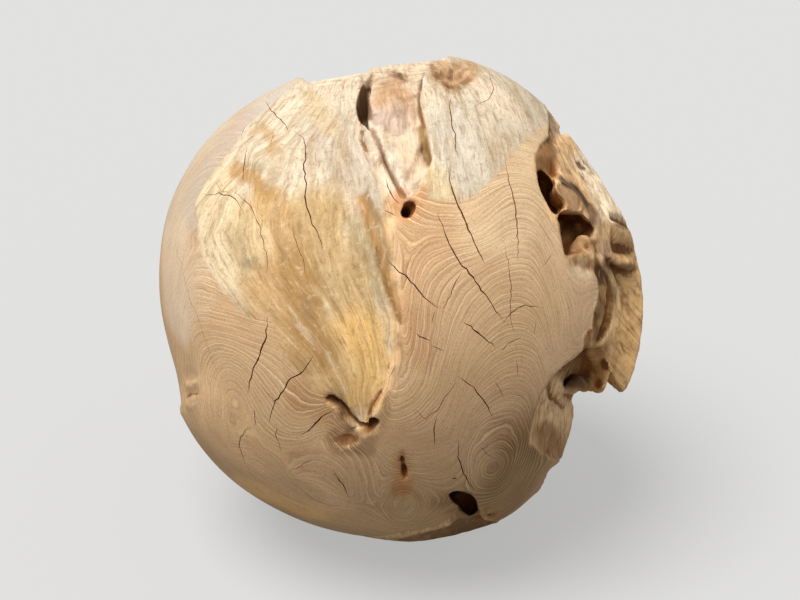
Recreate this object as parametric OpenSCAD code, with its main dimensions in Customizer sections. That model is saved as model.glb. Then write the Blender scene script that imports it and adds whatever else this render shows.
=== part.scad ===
// Turned root ball, one solid piece of teak root.
// A root stump is turned and carved to a ball. The turned skin stops wherever the root
// had no wood, so clefts, hollows and natural limbs stay open in it.
//
// Places are read on a flat front elevation of the ball's show side, in mm on a ball
// 500 across: x to the right, y up the face, z out towards the onlooker. The finished
// ball leans back by show_tilt and stands with its lowest point at z = 0.

/* [Ball] */
// Diameter that the root was turned to
ball_d = 500; // [300:10:600]
// How far the show side leans back from upright, in degrees
show_tilt = 25; // [0:1:45]
// Rows of points on the turned skin, from foot to top
skin_rows = 42; // [30:1:46]
// Points round each row
skin_columns = 80; // [60:1:84]

/* [Turned skin] */
// Share of the outline's natural dips that the skin takes
rim_dips = 1; // [0.5:0.05:1.2]
// Height of the hand-shaped waves left by the carver
hand_wave = 0.8; // [0:0.1:1.5]

/* [Sapwood trough] */
// Share of its full depth that the trough is carved to
trough_depth = 1; // [0.5:0.05:1.3]
// Thickness of the crevice under the foot of the trough
notch_w = 9; // [5:1:12]
// How far the crevice runs in under the sapwood
notch_depth = 26; // [12:1:40]

/* [Top clefts] */
// Drop of the valley floor at the skyline, left of the cleft
valley_drop = 12; // [6:1:20]
// Drop of the plate between the two clefts at the skyline
plate_drop = 13; // [8:1:18]
// Depth of the left cleft at its widest
cleft_depth = 60; // [30:5:80]
// Depth of the right groove
groove_depth = 16; // [8:1:24]

/* [Right hollows] */
// Height of the floor of the two deep hollows above the ball's middle
hollow_floor = 92; // [70:2:130]
// Height of the wing's inner edge above the ball's middle
wing_face = 62; // [50:1:70]

/* [Foot hollow] */
// How far the arched hole at the foot runs in
foot_depth = 60; // [30:5:80]

/* [Hidden] */

// Radius of the ball on which all places are read
R = 250;
// Facets of the small beads that round every natural edge
bead_fn = 8;
// How far a bite starts outside the skin
out = 14;
// Share of the columns' spacing that is moved from the show side to the back
column_focus = 0.45;

// Natural dips of the outline under the true ball, anticlockwise from the right: [degrees, depth]
rim_line = [[0, 2], [12, 5], [18, 6], [26, 13], [36, 16], [42, 12], [46, 13], [56, 3], [66, 0], [110, 4], [118, 7], [130, 4], [142, 1],
    [160, 2], [172, 8], [190, 15], [202, 14], [207, 1], [214, 0], [226, 1], [240, 4], [260, 5], [272, 1], [296, 1],
    [302, 4], [308, 12], [316, 14], [330, 6], [340, 0], [352, 1], [360, 2]];
// The step at the edge of the sapwood trough: [y, x]
fold_line = [[-140, -30], [-126, -27], [-110, -20], [-80, -4], [-50, 3], [0, 3], [40, 2], [80, -4], [100, -6],
    [120, -14], [150, -26], [205, -30], [240, -20], [250, 0]];
// Floor of the trough under the true ball: [y, depth]
trough_floor = [[-132, 0], [-124, 11], [-100, 13], [-50, 12], [0, 13], [50, 14], [100, 15], [150, 16],
    [205, 15], [250, 14]];
// Width over which the floor climbs back to the skin on the left: [y, width]
trough_width = [[-126, 40], [-100, 62], [-50, 95], [0, 115], [50, 125], [100, 125], [150, 105], [205, 85]];
// Width of the steep right wall of the trough: [y, width]
trough_wall = [[-126, 16], [-80, 22], [0, 34], [60, 40], [100, 28], [150, 16], [205, 14]];

// Outlines on the front elevation, read where each stands on the ball
brown_hollow = [[129, 126], [134, 137], [141, 149], [147, 149], [150, 130], [151, 113], [143, 108], [134, 114], [128, 120]];
first_hollow = [[128, 120], [130, 103], [135, 89], [141, 77], [148, 75], [155, 82], [153, 92], [149, 102], [143, 111], [136, 116]];
second_hollow = [[146, 72], [153, 79], [163, 78], [173, 77], [181, 69], [187, 62], [184, 52], [176, 40], [165, 39],
    [153, 36], [151, 50], [148, 63]];
pillar = [[176, 82], [192, 84], [209, 86], [212, 68], [211, 27], [191, 29], [184, 44], [180, 56], [183, 68]];
ledges = [[204, 81], [220, 93], [244, 95], [262, 22], [206, 23], [204, 51]];
edge_strip = [[188, 34], [183, 24], [187, 13], [188, 1], [185, -13], [182, -22], [179, -31], [174, -41], [170, -50],
    [186, -54], [208, -56], [222, -33], [226, -12], [224, 8], [216, 31], [196, 37]];
wing = [[198, 35], [204, 27], [209, 17], [213, 6], [215, -8], [215, -18], [211, -29], [206, -37], [201, -44],
    [192, -50], [198, -58], [205, -70], [214, -84], [226, -98], [280, -98], [280, 28], [215, 28]];
under_shelf = [[172, -48], [166, -55], [155, -62], [146, -70], [137, -79], [142, -96], [160, -112], [184, -96], [204, -76],
    [190, -48]];
shelf_hole = [[155, -80], [165, -73], [177, -73], [182, -80], [172, -88], [160, -89]];
wing_hole = [[186, -50], [197, -55], [200, -63], [197, -71], [190, -65], [188, -56]];
lower_face = [[139, -80], [132, -89], [128, -103], [124, -119], [122, -132], [125, -142], [131, -146], [136, -155],
    [140, -161], [150, -172], [210, -172], [200, -90], [160, -92]];
open_side = [[171, -101], [175, -96], [180, -93], [186, -96], [192, -95], [198, -87], [200, -75], [207, -70], [216, -84],
    [226, -98], [231, -99], [300, -99], [300, -230], [128, -230], [135, -207], [140, -190], [143, -178],
    [147, -169], [154, -166], [163, -159], [166, -151], [171, -133], [174, -118], [174, -108]];
foot_arch = [[47, -184], [52, -181], [61, -182], [70, -186], [75, -194], [78, -206], [70, -212], [62, -206], [57, -197], [50, -192]];
foot_wood = [[58, -196], [61, -206], [57, -214], [50, -221], [36, -226], [20, -230], [0, -238], [0, -252], [96, -252],
    [97, -222], [84, -217], [77, -205]];
foot_pit = [[84, -203], [88, -209], [96, -211], [86, -215]];

function ramp(v, from, to) = let (t = min(1, max(0, (v - from) / (to - from)))) t * t * (3 - 2 * t);
// Height of the true ball over a place on the elevation
function ball_z(x, y, r = R) = sqrt(max(1, r * r - x * x - y * y));
// A place on the ball, sunk below the skin
function at(x, y, sink = 0) = (R - sink) / R * [x, y, ball_z(x, y)];
// A direction over the skyline: degrees anticlockwise from the right, and degrees off the face
function over(azimuth, off, sink = 0) = (R - sink) * [sin(off) * cos(azimuth), sin(off) * sin(azimuth), cos(off)];

function trough(x, y) =
    let (w = lookup(y, fold_line) - x, wide = lookup(y, trough_width))
    trough_depth * lookup(y, trough_floor) * ramp(w, 0, lookup(y, trough_wall)) * (1 - ramp(w, 0.3 * wide, wide));

// Radius of the skin in direction d
function skin_radius(d) =
    let (azimuth = (atan2(d.y, d.x) + 360) % 360, off = acos(d.z), p = R * d)
    R - rim_dips * lookup(azimuth, rim_line) * ramp(off, 40, 66) * (1 - 0.7 * ramp(off, 96, 150))
    - trough(p.x, p.y) * (1 - ramp(off, 94, 128))
    - hand_wave * (1 + sin(1.9 * p.x + 1.1 * p.y) + sin(2.3 * p.y - 1.2 * p.z) * sin(1.4 * p.z + 60));

// Columns crowd towards the show side, and one of them follows the fold
function column(row, j) =
    let (t = j / skin_columns - 0.5, reach = lookup(R * sin(row), fold_line) / (R * cos(row)))
    asin(min(0.9, max(-0.9, reach))) * (1 - abs(2 * t)) + 360 * t - column_focus * sin(360 * t) * 180 / PI;
function row_angle(i) = 180 * i / skin_rows - 90;
function aim(row, turn) = [cos(row) * sin(turn), sin(row), cos(row) * cos(turn)];

skin_points = [
    skin_radius([0, -1, 0]) * [0, -1, 0],
    for (i = [1:skin_rows - 1], j = [0:skin_columns - 1])
        let (row = row_angle(i), d = aim(row, column(row, j))) skin_radius(d) * d,
    skin_radius([0, 1, 0]) * [0, 1, 0]
];
// Upright direction of the finished ball, seen on the elevation, and how far its foot lies below the middle
up = [0, cos(show_tilt), sin(show_tilt)];
foot_drop = -min([for (p = skin_points) p * up]);

module turned_skin() {
    n = skin_columns;
    top = len(skin_points) - 1;
    last = skin_rows - 2;
    faces = [
        for (j = [0:n - 1]) [0, 1 + j, 1 + (j + 1) % n],
        for (i = [0:last - 1], j = [0:n - 1])
            let (a = 1 + i * n + j, b = 1 + i * n + (j + 1) % n) each [[a, b + n, b], [a, a + n, b + n]],
        for (j = [0:n - 1]) [top, 1 + last * n + (j + 1) % n, 1 + last * n + j]
    ];
    polyhedron(skin_points, faces, convexity = 10);
}

module bead(place, r) {
    translate(place) sphere(r, $fn = bead_fn);
}

// One convex bite or lump with rounded corners
module lump(places, r = 4) {
    hull()
        for (p = places) bead(p, r);
}

// A bite with the outline's shape, down to the plane through three places
module field(outline, p, q, r, rounding = 1.5) {
    normal = cross(q - p, r - p);
    a = -normal.x / normal.z;
    b = -normal.y / normal.z;
    multmatrix([[1, 0, 0, 0], [0, 1, 0, 0], [a, b, 1, p.z - a * p.x - b * p.y]])
        linear_extrude(400) offset(rounding, $fn = 12) offset(-rounding) polygon(outline);
}

// A tapering slot that follows stations [x, y, width, depth] over the skin
module slot(stations) {
    for (i = [0:len(stations) - 2])
        hull()
            for (s = [stations[i], stations[i + 1]]) {
                bead(at(s[0], s[1], -out), s[2] / 2 * (1 + out / max(s[3], 1) / 2));
                bead(at(s[0], s[1], s[3]), s[2] / 4);
            }
}

// The same over the skyline, through stations [azimuth, off, width, depth]
module skyline_slot(stations) {
    for (i = [0:len(stations) - 2])
        hull()
            for (s = [stations[i], stations[i + 1]]) {
                bead(over(s[0], s[1], -out), s[2] * 0.7);
                bead(over(s[0], s[1], s[3]), s[2] / 4);
            }
}

// A root limb through stations [x, y, z, radius]
module limb(stations) {
    for (i = [0:len(stations) - 2])
        hull()
            for (s = [stations[i], stations[i + 1]]) bead([s[0], s[1], s[2]], s[3]);
}

module top_valley() {
    // Rows over the skyline: degrees off the face, azimuth of the left side, drop beyond the valley's own
    rows = [[60, 110, -7], [76, 112, 0], [92, 112.5, 0], [108, 110, -5]];
    for (i = [0:len(rows) - 2])
        lump([for (r = [rows[i], rows[i + 1]]) each [over(r[1], r[0], valley_drop + r[2]),
            over(98, r[0], valley_drop + r[2] + 5), over(r[1] + 4, r[0], -out), over(96, r[0], -out)]], 4);
}

module plate() {
    // Left and right edge of the sunken plate on the elevation, with the drop at each
    edges = [[5, 92, 2, 17, 94, 0], [-8, 126, 5, 27, 126, 4], [-20, 148, 8, 25, 148, 3], [-30, 182, 11, 18, 182, 3],
        [-31, 212, 13, 22, 212, 5]];
    for (i = [0:len(edges) - 2])
        lump([for (e = [edges[i], edges[i + 1]]) each [at(e[0], e[1], e[2] + 3), at(e[3], e[4], e[5] + 3),
            at(e[0], e[1], -out), at(e[3], e[4], -out)]], 3);
    left = over(98, 86, plate_drop + 2);
    right = over(77, 86, 1);
    lump([at(-31, 212, 16), at(22, 212, 8), left, right, at(-31, 212, -out), at(22, 212, -out), over(98, 86, -out),
        over(77, 86, -out)], 3);
    lump([left, right, over(97, 112, 9), over(84, 112, 6), over(98, 86, -out), over(77, 86, -out), over(97, 114, -out),
        over(84, 114, -out)], 3);
}

module left_cleft() {
    d = cleft_depth;
    slot([[-30, 226, 7, d * 0.6], [-33, 212, 12, d], [-36, 196, 15, d], [-35, 180, 12, d * 0.7], [-30, 165, 7, d * 0.5],
        [-22, 151, 4, 24], [-14, 142, 3, 18], [-12, 126, 3.6, 18], [-6, 112, 3, 14], [0, 98, 3.4, 14], [8, 84, 5, 16]]);
    skyline_slot([[99, 65, 7, d * 0.6], [98, 84, 5, d * 0.6], [98, 100, 3, d * 0.4]]);
}

module right_groove() {
    g = groove_depth;
    slot([[21, 214, 4, g], [21, 198, 4, g], [17, 184, 3.4, 14], [18, 168, 4, 14], [23, 152, 6, g], [26, 138, 9, g],
        [29, 124, 6, 12], [22, 104, 3, 6]]);
    slot([[24, 222, 4, 10], [30, 214, 3, 7]]);
    skyline_slot([[87, 79, 4, 16], [84.5, 80, 4, 16]]);
}

module top_pit() {
    // Lobes of the shallow knot, then the pith holes in it
    translate(at(57, 212, -20)) sphere(29, $fn = 28);
    translate(at(42, 210, -6)) sphere(12, $fn = 16);
    translate(at(73, 205, -8)) sphere(13, $fn = 16);
    translate(at(50, 200, -5)) sphere(10, $fn = 14);
    slot([[55, 216, 4, 24], [57, 211, 3, 22]]);
    slot([[50, 198, 4, 12], [52, 203, 4, 12]]);
    slot([[-2, 206, 4, 22], [2, 201, 4, 22]]);
}

module eye_hole() {
    lump([[15, 84, 250], [10, 78, 250], [8, 74, 232], [11, 79, 228]], 6);
    limb([[9, 77, 230, 6], [4, 72, 208, 5]]);
}

// Where the root never filled the ball, right of the front panel
module right_hollows() {
    h = hollow_floor;
    field(brown_hollow, [143, 149, 138], [129, 122, 167], [149, 114, 140]);
    // The natural wood starts with a step at the skyline
    lump([over(44.5, 72, 12), over(46, 84, 14), over(44.5, 96, 12), over(45.5, 72, -out), over(48, 84, -out),
        over(45.5, 96, -out)], 3);
    slot([[170, 122, 3, 10], [171, 119, 3, 9]]);
    slot([[174, 116, 3, 9], [177, 114, 2.4, 7]]);
    // Gap between the cut-off limb and the wood behind it
    slot([[153, 110, 2.4, 9], [160, 102, 4, 12], [170, 91, 3, 10], [176, 84, 2, 6]]);
    field(first_hollow, [130, 110, h + 20], [142, 78, h], [150, 100, h + 30]);
    limb([[138, 96, 140, 9], [124, 90, h, 11], [112, 84, h - 10, 7]]);
    field(second_hollow, [153, 75, h + 4], [152, 42, h + 34], [184, 60, h + 44]);
    limb([[156, 66, 130, 9], [142, 60, h, 11], [128, 54, h - 10, 7]]);
}

// Natural faces between the deep hollows and the skyline
module right_faces() {
    field(pillar, [182, 68, 143], [204, 68, 113], [200, 32, 132]);
    field(ledges, [204, 80, 103], [204, 28, 106], [234, 45, 44]);
    limb([[210, 76, 98, 7], [222, 74, 70, 9], [236, 72, 34, 9], [240, 72, 0, 9]]);
    limb([[208, 49, 106, 6], [220, 46, 84, 9], [233, 46, 58, 9], [246, 48, 24, 7]]);
    field(edge_strip, [186, 0, 165], [214, -12, 106], [198, 34, 124]);
    limb([[198, 27, 134, 5], [204, 15, 126, 9], [205, 1, 128, 11], [203, -14, 139, 11], [197, -28, 153, 9],
        [188, -43, 161, 5]]);
    field(wing, [214, 0, wing_face], [247, 0, wing_face - 34], [220, -80, wing_face - 14]);
}

module lower_faces() {
    field(under_shelf, [145, -74, 156], [188, -56, 112], [165, -96, 92], 3);
    field(shelf_hole, [156, -80, 96], [180, -76, 88], [165, -88, 84], 3);
    field(wing_hole, [190, -52, 50], [197, -60, 40], [194, -70, 40]);
    field(lower_face, [128, -95, 178], [125, -138, 160], [172, -125, 48]);
    translate([0, 0, -R]) linear_extrude(2 * R) offset(2, $fn = 12) offset(-2) polygon(open_side);
}

module natural_limbs() {
    // Limb that the turning cut off flush, beside the deep hollows
    lump([[155, 102, 180], [170, 85, 176], [164, 92, 110], [152, 94, 96]], 9);
    limb([[168, 92, 120, 14], [170, 92, 80, 20]]);
    // Lump and rough band under the second hollow
    lump([[174, 51, 148], [177, 46, 142], [168, 41, 154], [172, 44, 110]], 8);
    limb([[158, 30, 174, 10], [173, 33, 158, 10], [187, 31, 143, 10]]);
    // Two shelves of the skyline that catch the light
    lump([[205, 68, 104], [214, 64, 92], [226, 61, 66], [207, 58, 98], [222, 54, 72], [214, 60, 70]], 5);
    lump([[204, 38, 104], [216, 33, 86], [228, 30, 56], [214, 39, 70], [229, 38, 40]], 5);
    // Knob hanging at the panel's lower corner
    limb([[182, -42, 138, 13], [189, -56, 120, 8], [190, -70, 106, 8], [184, -84, 104, 8], [176, -80, 106, 7],
        [168, -88, 100, 7]]);
    limb([[189, -56, 113, 13], [194, -75, 100, 11], [193, -86, 96, 8]]);
    limb([[176, -56, 110, 14], [168, -84, 70, 14]]);
}

module trough_notch() {
    mouth = [[-62, -97], [-52, -106], [-45, -119], [-36, -125], [-27, -124], [-20, -115]];
    for (i = [0:len(mouth) - 2])
        hull()
            for (m = [mouth[i], mouth[i + 1]]) {
                bead(at(m.x, m.y, -2), notch_w / 2);
                bead(at(m.x, m.y + 9, notch_depth), notch_w / 4);
            }
    slot([[-62, -97, 5, 14], [-76, -88, 3, 5]]);
    slot([[-62, -100, 3, 10], [-74, -113, 3, 8], [-90, -125, 1.6, 4]]);
}

module foot_hollow() {
    d = foot_depth;
    field(foot_arch, [50, -184, 160 - d], [72, -190, 150 - d], [60, -206, 140 - d]);
    limb([[63, -196, 130, 9], [58, -190, 160 - d, 9], [46, -178, 145 - d, 8]]);
    field(foot_wood, [30, -224, 100], [80, -208, 101], [50, -244, 8]);
    field(foot_pit, [84, -204, 100], [95, -211, 90], [86, -215, 80], 1);
    slot([[4, -146, 4, 8], [6, -158, 7, 12], [8, -172, 4, 6]]);
}

module root_ball() {
    color("burlywood")
        scale(ball_d / (2 * R)) translate([0, 0, foot_drop])
            rotate([90 - show_tilt, 0, 0])
                difference() {
                    union() {
                        difference() {
                            turned_skin();
                            right_hollows();
                            right_faces();
                            lower_faces();
                        }
                        intersection() {
                            sphere(R, $fn = 72);
                            natural_limbs();
                        }
                    }
                    top_valley();
                    plate();
                    left_cleft();
                    right_groove();
                    top_pit();
                    eye_hole();
                    trough_notch();
                    foot_hollow();
                }
}

root_ball();
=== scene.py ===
# %% [markdown]
# A ball turned from one root of teak, half a metre across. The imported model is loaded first. It is
# the fixed frame: the dressed ball is made from its mesh, so it stands where the solid stands.

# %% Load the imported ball
import math

import bmesh
import bpy
import numpy as np
from mathutils import Matrix, Vector, noise
from mathutils.bvhtree import BVHTree


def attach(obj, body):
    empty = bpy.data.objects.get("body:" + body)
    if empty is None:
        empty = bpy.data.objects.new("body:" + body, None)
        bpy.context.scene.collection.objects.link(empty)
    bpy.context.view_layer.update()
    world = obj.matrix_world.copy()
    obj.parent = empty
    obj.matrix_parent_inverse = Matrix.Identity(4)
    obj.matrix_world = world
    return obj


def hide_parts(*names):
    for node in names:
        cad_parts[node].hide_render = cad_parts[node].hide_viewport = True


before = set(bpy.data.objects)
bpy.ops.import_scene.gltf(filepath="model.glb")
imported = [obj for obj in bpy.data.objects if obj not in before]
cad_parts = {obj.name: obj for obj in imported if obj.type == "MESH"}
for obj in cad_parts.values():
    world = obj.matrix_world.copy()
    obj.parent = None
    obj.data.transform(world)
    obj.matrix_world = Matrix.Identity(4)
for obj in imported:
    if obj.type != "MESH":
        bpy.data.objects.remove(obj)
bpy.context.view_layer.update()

root_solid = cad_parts["root_ball"]

# %% [markdown]
# Everything on the show side is placed on a flat front view of the ball, in millimetres: x to the
# right, y up the face, z out towards the onlooker. The ball leans back by 25 degrees, so two small
# functions turn a place on that view into a place on the floor's frame and back again.

# %% The front view and the floor's frame
BALL_R = 250.0
LEAN = math.radians(25)
SEAT = 247.3
ROWS = np.array([[1, 0, 0], [0, math.sin(LEAN), -math.cos(LEAN)], [0, math.cos(LEAN), math.sin(LEAN)]])


def to_floor(places):
    """Front-view places in mm, as places on the floor's frame in metres."""
    return (np.asarray(places, float) @ ROWS.T + (0, 0, SEAT)) / 1000


def to_view(places):
    """Places on the floor's frame in metres, as front-view places in mm."""
    return (np.asarray(places, float) * 1000 - (0, 0, SEAT)) @ ROWS


def show(x, y):
    """The place on the true ball that the front view shows at x, y."""
    return np.array([x, y, math.sqrt(max(1.0, BALL_R ** 2 - x * x - y * y))])


SIGHT = 2000.0
PIXELS = 1968.4


def pictured(px, py):
    """The place on the ball that stands at a pixel of the 800 by 600 picture."""
    aim = np.array([(px - 397.3) / PIXELS, (296.1 - py) / PIXELS, -1.0])
    aim /= np.linalg.norm(aim)
    eye = np.array([0, 0, SIGHT])
    half = eye @ aim
    under_root = half * half - (SIGHT ** 2 - BALL_R ** 2)
    spot = eye + aim * (-half - math.sqrt(max(0.0, under_root)))
    return spot * BALL_R / np.linalg.norm(spot)


print("middle of the ball:", to_floor([[0, 0, 0]])[0], "metres")

# %% [markdown]
# The camera stands two metres from the ball and looks down on it by 25 degrees, with a long lens,
# as a shop photograph is taken. The small shift puts the ball where the photograph has it.

# %% Camera
camera = bpy.data.objects.new("camera", bpy.data.cameras.new("camera"))
bpy.context.scene.collection.objects.link(camera)
camera.location = (0, -2 * math.cos(LEAN), 2 * math.sin(LEAN) + SEAT / 1000)
camera.rotation_euler = (math.pi / 2 - LEAN, 0, 0)
camera.data.sensor_width = 36
camera.data.lens = 88.85
camera.data.shift_x = 2.7 / 800
camera.data.shift_y = -3.9 / 800
camera.data.clip_end = 50
bpy.context.scene.camera = camera
bpy.context.scene.view_settings.view_transform = "Standard"
print("camera at", tuple(round(v, 3) for v in camera.location))

# %% [markdown]
# Shader maths reads best as plain sums. A Tone holds one output of a material's nodes, and adding
# or multiplying it adds the Math node. A Finish is one material, and makes every other node with
# one method: the kind of node, its settings, and the values of its sockets.


# %% Tones and finishes
class Tone:
    """One output of a finish, which can be added, multiplied and so on."""

    def __init__(self, finish, socket):
        self.finish, self.socket = finish, socket

    def sum(self, operation, *values):
        return self.finish.node("ShaderNodeMath", {"operation": operation}, dict(enumerate(values)))

    def __add__(self, other):
        return self.sum("ADD", self, other)

    def __sub__(self, other):
        return self.sum("SUBTRACT", self, other)

    def __rsub__(self, other):
        return self.sum("SUBTRACT", other, self)

    def __mul__(self, other):
        return self.sum("MULTIPLY", self, other)

    def __truediv__(self, other):
        return self.sum("DIVIDE", self, other)

    __radd__ = __add__
    __rmul__ = __mul__

    def fract(self):
        return self.sum("FRACT", self)

    def floor(self):
        return self.sum("FLOOR", self)

    def rise(self, low, high, start=0.0, end=1.0):
        """Smooth step from start to end while the tone goes from low to high."""
        settings = {"interpolation_type": "SMOOTHSTEP"}
        return self.finish.node("ShaderNodeMapRange", settings, {0: self, 1: low, 2: high, 3: start, 4: end})


class Finish:
    """One material, built node by node."""

    def __init__(self, name):
        self.material = bpy.data.materials.new(name)
        self.material.use_nodes = True
        self.nodes = self.material.node_tree.nodes
        self.shader = self.nodes["Principled BSDF"]

    def set(self, node, name, value):
        socket = node.inputs[name]
        if isinstance(value, Tone):
            self.material.node_tree.links.new(value.socket, socket)
        else:
            socket.default_value = value

    def node(self, kind, settings=None, sockets=None, out=0):
        node = self.nodes.new(kind)
        for key, value in (settings or {}).items():
            setattr(node, key, value)
        for key, value in (sockets or {}).items():
            self.set(node, key, value)
        return Tone(self, node.outputs[out])

    def mark(self, name):
        """A number kept on the mesh's points."""
        return self.node("ShaderNodeAttribute", {"attribute_name": name}, out="Fac")

    def grain(self, vector, scale, detail=2.0, roughness=0.5):
        return self.node("ShaderNodeTexNoise", {}, {"Vector": vector, "Scale": scale, "Detail": detail,
                                                    "Roughness": roughness}, out="Fac")

    def shaded(self, colour, amount):
        return self.node("ShaderNodeHueSaturation", {}, {"Value": amount, "Color": colour}, out="Color")

    def blend(self, factor, first, second):
        return self.node("ShaderNodeMix", {"data_type": "RGBA"}, {0: factor, 6: first, 7: second}, out=2)


def paint(red, green, blue):
    """A colour as a screen shows it, 0 to 255, in the linear values that a shader takes."""
    return tuple(((c / 255 + 0.055) / 1.055) ** 2.4 for c in (red, green, blue)) + (1,)


print("tan heartwood in linear values:", [round(c, 3) for c in paint(196, 160, 124)])

# %% [markdown]
# The floor is one plain sheet, larger than any view of it. A wide soft sun stands high on the left
# and the sky gives the rest, at a level where a colour looks about as it is written. What the camera
# sees of the floor and the sky is lifted to the same pale grey, which also makes the shadow soft.

# %% Floor, sky and lamp
sheet = bmesh.new()
bmesh.ops.create_grid(sheet, x_segments=1, y_segments=1, size=14)
floor_mesh = bpy.data.meshes.new("floor")
sheet.to_mesh(floor_mesh)
sheet.free()
floor = bpy.data.objects.new("floor", floor_mesh)
bpy.context.scene.collection.objects.link(floor)
paper = Finish("pale_floor")
paper.set(paper.shader, "Base Color", (0.2, 0.2, 0.2, 1))
paper.set(paper.shader, "Roughness", 0.95)
paper.set(paper.shader, "Specular IOR Level", 0.0)
GLOW = 0.432
seen_ray = [paper.node("ShaderNodeLightPath", out=name) for name in
            ("Is Camera Ray", "Is Glossy Ray", "Is Transmission Ray")]
glow = paper.node("ShaderNodeMath", {"operation": "ADD", "use_clamp": True},
                  {0: seen_ray[0] + seen_ray[1], 1: seen_ray[2]})
paper.set(paper.shader, "Emission Color", paper.blend(glow, (0, 0, 0, 1), (GLOW, GLOW, 0.985 * GLOW, 1)))
paper.set(paper.shader, "Emission Strength", 1.0)
floor.data.materials.append(paper.material)

sky = bpy.data.worlds.new("sky")
bpy.context.scene.world = sky
sky.use_nodes = True
sky_tree = sky.node_tree
soft = sky_tree.nodes["Background"]
soft.inputs["Color"].default_value = (1, 1, 1, 1)
soft.inputs["Strength"].default_value = 0.42
seen = sky_tree.nodes.new("ShaderNodeBackground")
seen.inputs["Color"].default_value = paint(225, 225, 223)
ray = sky_tree.nodes.new("ShaderNodeLightPath")
either = sky_tree.nodes.new("ShaderNodeMixShader")
added = ray.outputs["Is Camera Ray"]
for name in ("Is Glossy Ray", "Is Transmission Ray"):
    both = sky_tree.nodes.new("ShaderNodeMath")
    both.use_clamp = True
    sky_tree.links.new(added, both.inputs[0])
    sky_tree.links.new(ray.outputs[name], both.inputs[1])
    added = both.outputs[0]
sky_tree.links.new(added, either.inputs[0])
sky_tree.links.new(soft.outputs[0], either.inputs[1])
sky_tree.links.new(seen.outputs[0], either.inputs[2])
sky_tree.links.new(either.outputs[0], sky_tree.nodes["World Output"].inputs[0])

lamp = bpy.data.objects.new("window", bpy.data.lights.new("window", "SUN"))
bpy.context.scene.collection.objects.link(lamp)
lamp.data.energy = 4.2
lamp.data.angle = math.radians(40)
lamp.data.color = (1.0, 0.99, 0.975)
LAMP_FROM = Vector((-0.31, -0.28, 0.91))
lamp.rotation_euler = LAMP_FROM.to_track_quat("Z", "Y").to_euler()
print("lamp from", tuple(LAMP_FROM))

# %% [markdown]
# The solid says exactly where the lathe's skin lies: a true ball, with shallow dips of the outline,
# a carved trough and faint hand-made waves. The same rule is needed here, to tell the smooth turned
# skin from the natural wood below it. The tables are the ones that the solid is made from.

# %% The turned skin's rule
RIM_LINE = [(0, 2), (12, 5), (18, 6), (26, 13), (36, 16), (42, 12), (46, 13), (56, 3), (66, 0), (110, 4), (118, 7),
            (130, 4), (142, 1), (160, 2), (172, 8), (190, 15), (202, 14), (207, 1), (214, 0), (226, 1), (240, 4),
            (260, 5), (272, 1), (296, 1), (302, 4), (308, 12), (316, 14), (330, 6), (340, 0), (352, 1), (360, 2)]
FOLD_LINE = [(-140, -30), (-126, -27), (-110, -20), (-80, -4), (-50, 3), (0, 3), (40, 2), (80, -4), (100, -6),
             (120, -14), (150, -26), (205, -30), (240, -20), (250, 0)]
TROUGH_FLOOR = [(-132, 0), (-124, 11), (-100, 13), (-50, 12), (0, 13), (50, 14), (100, 15), (150, 16), (205, 15),
                (250, 14)]
TROUGH_WIDTH = [(-126, 40), (-100, 62), (-50, 95), (0, 115), (50, 125), (100, 125), (150, 105), (205, 85)]
TROUGH_WALL = [(-126, 16), (-80, 22), (0, 34), (60, 40), (100, 28), (150, 16), (205, 14)]


def lookup(value, table):
    return np.interp(value, [row[0] for row in table], [row[1] for row in table])


def ramp(value, low, high):
    t = np.clip((value - low) / (high - low), 0, 1)
    return t * t * (3 - 2 * t)


def skin_radius(places):
    """How far out the turned skin lies, in the direction of each place."""
    aim = places / np.linalg.norm(places, axis=1)[:, None]
    azimuth = np.degrees(np.arctan2(aim[:, 1], aim[:, 0])) % 360
    off = np.degrees(np.arccos(np.clip(aim[:, 2], -1, 1)))
    x, y, z = (BALL_R * aim).T
    dip = lookup(azimuth, RIM_LINE) * ramp(off, 40, 66) * (1 - 0.7 * ramp(off, 96, 150))
    inward, wide = lookup(y, FOLD_LINE) - x, lookup(y, TROUGH_WIDTH)
    trough = lookup(y, TROUGH_FLOOR) * ramp(inward, 0, lookup(y, TROUGH_WALL)) * (1 - ramp(inward, 0.3 * wide, wide))
    x, y, z = np.radians((x, y, z))
    wave = 1 + np.sin(1.9 * x + 1.1 * y) + np.sin(2.3 * y - 1.2 * z) * np.sin(1.4 * z + np.radians(60))
    return BALL_R - dip - trough * (1 - ramp(off, 94, 128)) - 0.8 * wave


print("skin at the front:", skin_radius(np.array([[0.0, 0.0, 1.0]]))[0], "mm")

# %% [markdown]
# Some borders aren't a matter of depth: natural wood also reaches the turned skin's level, and the
# sapwood ends inside it. Such borders are drawn as outlines on the skin laid flat, where distances
# from the middle of the show side stay true, and where an outline can run on past the skyline.


# %% Outlines on the skin laid flat
def unrolled(places):
    """The ball's skin laid flat round the middle of the show side, in mm along the skin."""
    off = np.arctan2(np.linalg.norm(places[:, :2], axis=1), places[:, 2])
    turn = np.arctan2(places[:, 1], places[:, 0])
    return BALL_R * off[:, None] * np.stack([np.cos(turn), np.sin(turn)], axis=1)


def flat_line(corners):
    return unrolled(np.array([show(x, y) for x, y in corners]))


def flat_picture(pixels):
    return unrolled(np.array([pictured(px, py) for px, py in pixels]))


def past_skyline(*corners):
    """Places by degrees round the skyline and degrees off the middle of the show side."""
    turn, off = np.radians(np.array(corners, float)).T
    return BALL_R * off[:, None] * np.stack([np.cos(turn), np.sin(turn)], axis=1)


def distance_to_line(flat, line):
    best = np.full(len(flat), 1e9)
    for start, end in zip(line[:-1], line[1:]):
        run = end - start
        t = np.clip(((flat - start) @ run) / max(run @ run, 1e-9), 0, 1)
        best = np.minimum(best, np.linalg.norm(flat - start - t[:, None] * run, axis=1))
    return best


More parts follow.
